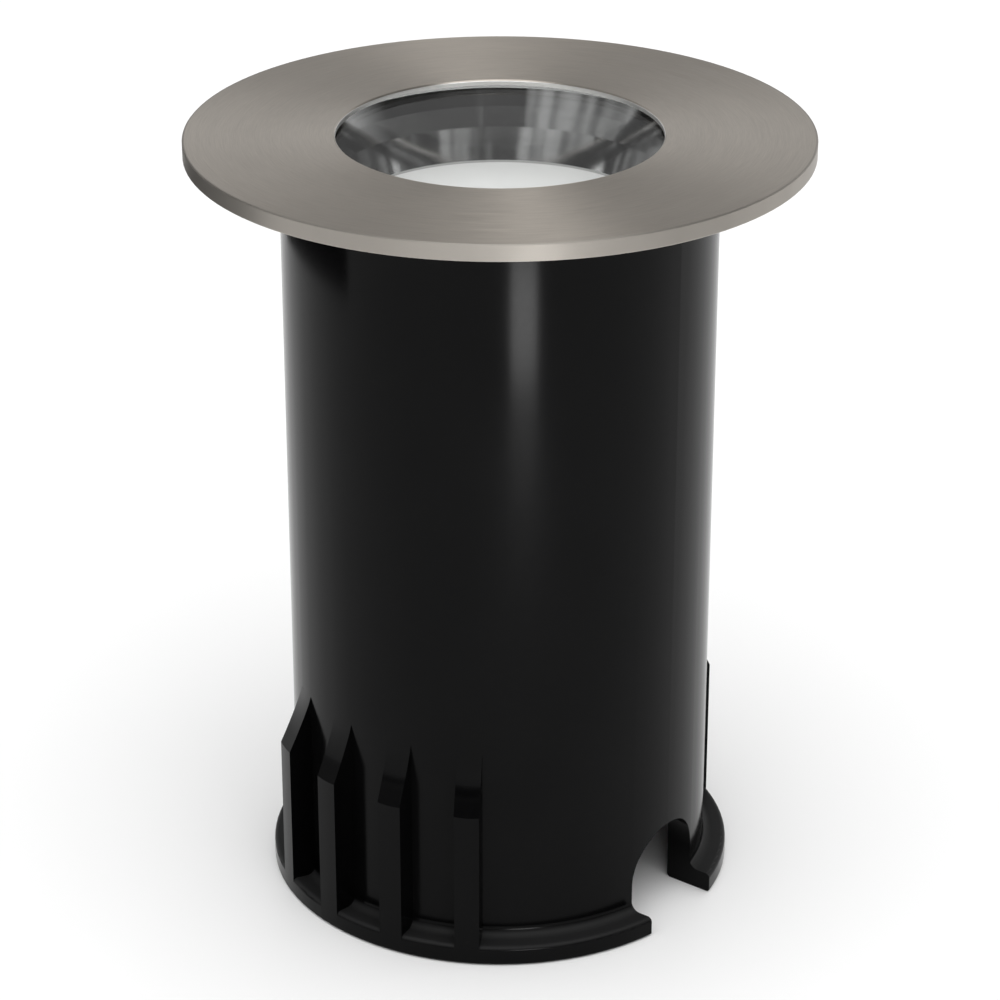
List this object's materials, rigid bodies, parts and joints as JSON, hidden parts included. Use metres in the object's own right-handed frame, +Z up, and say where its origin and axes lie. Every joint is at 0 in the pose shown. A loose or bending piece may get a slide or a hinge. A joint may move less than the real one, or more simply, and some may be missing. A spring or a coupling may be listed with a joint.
{
  "type": "in ground well light",
  "caption": "Round recessed ground light: a brushed trim ring over a glazed lamp unit that lifts out of a black sleeve with a ribbed, flanged foot and cable arches.",
  "frame": {"origin": "centre of the sleeve's foot, on the surface it stands on", "axes": "+Z up along the light's axis, towards the trim ring; the cable arches face +X and -X, the anchor ribs +Y and -Y"},
  "size_m": [0.1, 0.1, 0.13],
  "materials": {
    "sleeve_black_plastic": "semi-gloss moulded",
    "brushed_stainless": "fine circular brushing",
    "stainless_small_parts": "machined",
    "spring_steel": "rolled strip",
    "black_silicone": "satin",
    "grey_rubber": "satin",
    "clear_glass": "clear, polished",
    "polished_aluminium": "polished and anodised",
    "opal_diffuser": "opal, satin",
    "white_plastic": "satin",
    "white_board": "white solder mask",
    "green_board": "solder mask",
    "led_phosphor": "satin",
    "thermal_silicone": "satin",
    "cast_aluminium": "as cast",
    "dark_plastic": "satin",
    "ivory_plastic": "satin",
    "ferrite": "sintered",
    "capacitor_sleeve": "gloss sleeve",
    "plated_brass": "plated",
    "red_wire": "gloss insulation",
    "blue_wire": "gloss insulation"
  },
  "bodies": {
    "sleeve": {"mounting_sleeve": "sleeve_black_plastic"},
    "clip_carrier": {"clip_carrier_ring": "dark_plastic", "clip_pins": "stainless_small_parts"},
    "lamp_unit": {"trim_ring": "brushed_stainless", "ring_collar": "brushed_stainless", "ring_grub_screws": "stainless_small_parts", "glass_gasket": "black_silicone", "front_glass": "clear_glass", "reflector": "polished_aluminium", "diffuser": "opal_diffuser", "mixing_cup": "white_plastic", "led_board": "white_board", "led_chips": "led_phosphor", "led_board_screws": "stainless_small_parts", "thermal_pad": "thermal_silicone", "lamp_housing": "cast_aluminium", "ring_o_ring": "black_silicone", "centring_o_ring": "black_silicone", "led_leads": "red_wire", "driver_case": "dark_plastic", "driver_board": "green_board", "driver_transformer": "ferrite", "driver_capacitors": "capacitor_sleeve", "driver_chips": "dark_plastic", "supply_leads": "blue_wire", "terminal_block": "ivory_plastic", "terminal_screws": "plated_brass", "rear_cover_gasket": "black_silicone", "rear_cover": "cast_aluminium", "rear_cover_screws": "stainless_small_parts", "gland_o_ring": "black_silicone", "cable_gland_body": "dark_plastic", "cable_gland_seal": "grey_rubber", "cable_gland_nut": "dark_plastic"},
    "clip_a": {"spring_clip_a": "spring_steel", "clip_spring_a": "spring_steel"},
    "clip_b": {"spring_clip_b": "spring_steel", "clip_spring_b": "spring_steel"},
    "clip_c": {"spring_clip_c": "spring_steel", "clip_spring_c": "spring_steel"}
  },
  "joints": [
    {"name": "lamp_lift", "type": "slide", "parent": "sleeve", "child": "clip_carrier", "axis": [0, 0, 1], "range_m": [0, 0.1]},
    {"name": "lamp_turn", "type": "hinge", "parent": "clip_carrier", "child": "lamp_unit", "pos_m": [0, 0, 0.0675], "axis": [0, 0, 1], "continuous": true},
    {"name": "clip_a_press", "type": "hinge", "parent": "clip_carrier", "child": "clip_a", "pos_m": [0, 0.0295, 0.0724], "axis": [-1, 0, 0], "range_deg": [0, 6], "stiffness_Nm_per_rad": 0.15, "springref_deg": -6.88},
    {"name": "clip_b_press", "type": "hinge", "parent": "clip_carrier", "child": "clip_b", "pos_m": [-0.02555, -0.01475, 0.0724], "axis": [0.5, -0.866, 0], "range_deg": [0, 6], "stiffness_Nm_per_rad": 0.15, "springref_deg": -6.88},
    {"name": "clip_c_press", "type": "hinge", "parent": "clip_carrier", "child": "clip_c", "pos_m": [0.02555, -0.01475, 0.0724], "axis": [0.5, 0.866, 0], "range_deg": [0, 6], "stiffness_Nm_per_rad": 0.15, "springref_deg": -6.88}
  ]
}
